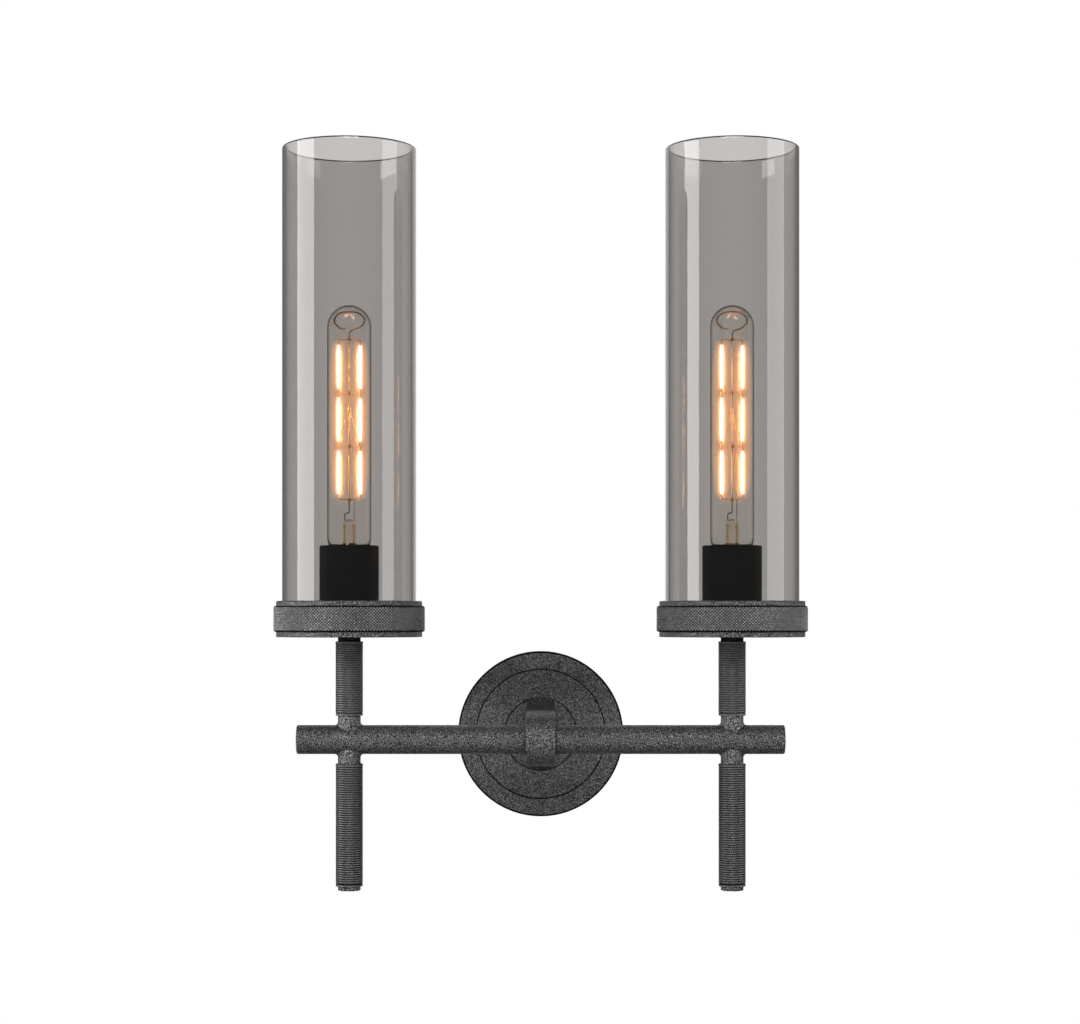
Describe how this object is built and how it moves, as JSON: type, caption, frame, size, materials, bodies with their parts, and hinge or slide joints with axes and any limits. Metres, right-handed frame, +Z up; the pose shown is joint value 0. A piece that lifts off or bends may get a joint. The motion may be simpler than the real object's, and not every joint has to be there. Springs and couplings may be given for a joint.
{
  "type": "vanity light",
  "caption": "Wall vanity light with tall open smoke-glass tubes standing in knurled collars on ribbed posts, carried by a round crossbar, an arm and a round canopy.",
  "frame": {"origin": "centre of the mounting strap's slot pattern, on the wall plane at the canopy's centre", "axes": "+Z up along the posts, +Y into the wall, +X to the right seen from the front"},
  "size_m": [0.399, 0.1645, 0.5541],
  "materials": {
    "dark_metal": "dark grey weathered coat with a fine pebbled texture",
    "plated_steel": "zinc plated",
    "ground_green": "green dyed",
    "socket_black": "satin black",
    "porcelain": "glazed white",
    "brass": "plain",
    "cap_metal": "nickel plated",
    "cap_glass": "black glass",
    "smoke_glass": "smoke tinted, clear",
    "clear_glass": "clear",
    "stem_glass": "clear",
    "filament": "warm glowing phosphor",
    "support_wire": "drawn wire",
    "gasket_rubber": "matte",
    "black_insulation": "matte",
    "white_insulation": "matte",
    "connector_plastic": "matte"
  },
  "bodies": {
    "fixture": {"mounting_strap": "plated_steel", "ground_screw": "ground_green", "canopy": "dark_metal", "canopy_set_screws": "dark_metal", "arm_flange": "dark_metal", "arm": "dark_metal", "arm_nipple": "plated_steel", "arm_lock_washer": "plated_steel", "arm_locknut": "plated_steel", "crossbar": "dark_metal", "bar_end_plugs": "dark_metal", "bar_set_screw": "dark_metal", "hot_wires": "black_insulation", "neutral_wires": "white_insulation", "wire_connectors": "connector_plastic", "socket_nuts": "plated_steel", "left_upper_nipple": "plated_steel", "left_lower_stud": "plated_steel", "left_upper_saddle": "dark_metal", "left_lower_saddle": "dark_metal", "left_upper_sleeve": "dark_metal", "left_lower_sleeve": "dark_metal", "left_bottom_finial": "dark_metal", "left_cup_base": "dark_metal", "left_knurled_band": "dark_metal", "left_glass_cup": "dark_metal", "left_shade_gasket": "gasket_rubber", "left_socket_cover": "socket_black", "left_lampholder": "porcelain", "left_screw_shell": "brass", "right_upper_nipple": "plated_steel", "right_lower_stud": "plated_steel", "right_upper_saddle": "dark_metal", "right_lower_saddle": "dark_metal", "right_upper_sleeve": "dark_metal", "right_lower_sleeve": "dark_metal", "right_bottom_finial": "dark_metal", "right_cup_base": "dark_metal", "right_knurled_band": "dark_metal", "right_glass_cup": "dark_metal", "right_shade_gasket": "gasket_rubber", "right_socket_cover": "socket_black", "right_lampholder": "porcelain", "right_screw_shell": "brass"},
    "left_shade": {"left_glass_shade": "smoke_glass"},
    "left_contact": {"left_center_contact": "brass"},
    "left_bulb": {"left_bulb_cap": "cap_metal", "left_bulb_insulator": "cap_glass", "left_bulb_envelope": "clear_glass", "left_bulb_stem": "stem_glass", "left_bulb_filaments": "filament", "left_bulb_support_wires": "support_wire"},
    "right_shade": {"right_glass_shade": "smoke_glass"},
    "right_contact": {"right_center_contact": "brass"},
    "right_bulb": {"right_bulb_cap": "cap_metal", "right_bulb_insulator": "cap_glass", "right_bulb_envelope": "clear_glass", "right_bulb_stem": "stem_glass", "right_bulb_filaments": "filament", "right_bulb_support_wires": "support_wire"}
  },
  "joints": [
    {"name": "left_shade_lift", "type": "slide", "parent": "fixture", "child": "left_shade", "axis": [0, 0, 1], "range_m": [0, 0.25]},
    {"name": "left_bulb_turn", "type": "hinge", "parent": "fixture", "child": "left_contact", "pos_m": [-0.143, -0.108, 0.115], "axis": [0, 0, 1], "range_deg": [0, 1800]},
    {"name": "left_bulb_rise", "type": "slide", "parent": "left_contact", "child": "left_bulb", "axis": [0, 0, 1], "range_m": [0, 0.0182]},
    {"name": "right_shade_lift", "type": "slide", "parent": "fixture", "child": "right_shade", "axis": [0, 0, 1], "range_m": [0, 0.25]},
    {"name": "right_bulb_turn", "type": "hinge", "parent": "fixture", "child": "right_contact", "pos_m": [0.143, -0.108, 0.115], "axis": [0, 0, 1], "range_deg": [0, 1800]},
    {"name": "right_bulb_rise", "type": "slide", "parent": "right_contact", "child": "right_bulb", "axis": [0, 0, 1], "range_m": [0, 0.0182]}
  ],
  "couplings": [
    {"joint": "left_bulb_rise", "follows": "left_bulb_turn", "m_per_rad": 0.00057751},
    {"joint": "right_bulb_rise", "follows": "right_bulb_turn", "m_per_rad": 0.00057751}
  ]
}
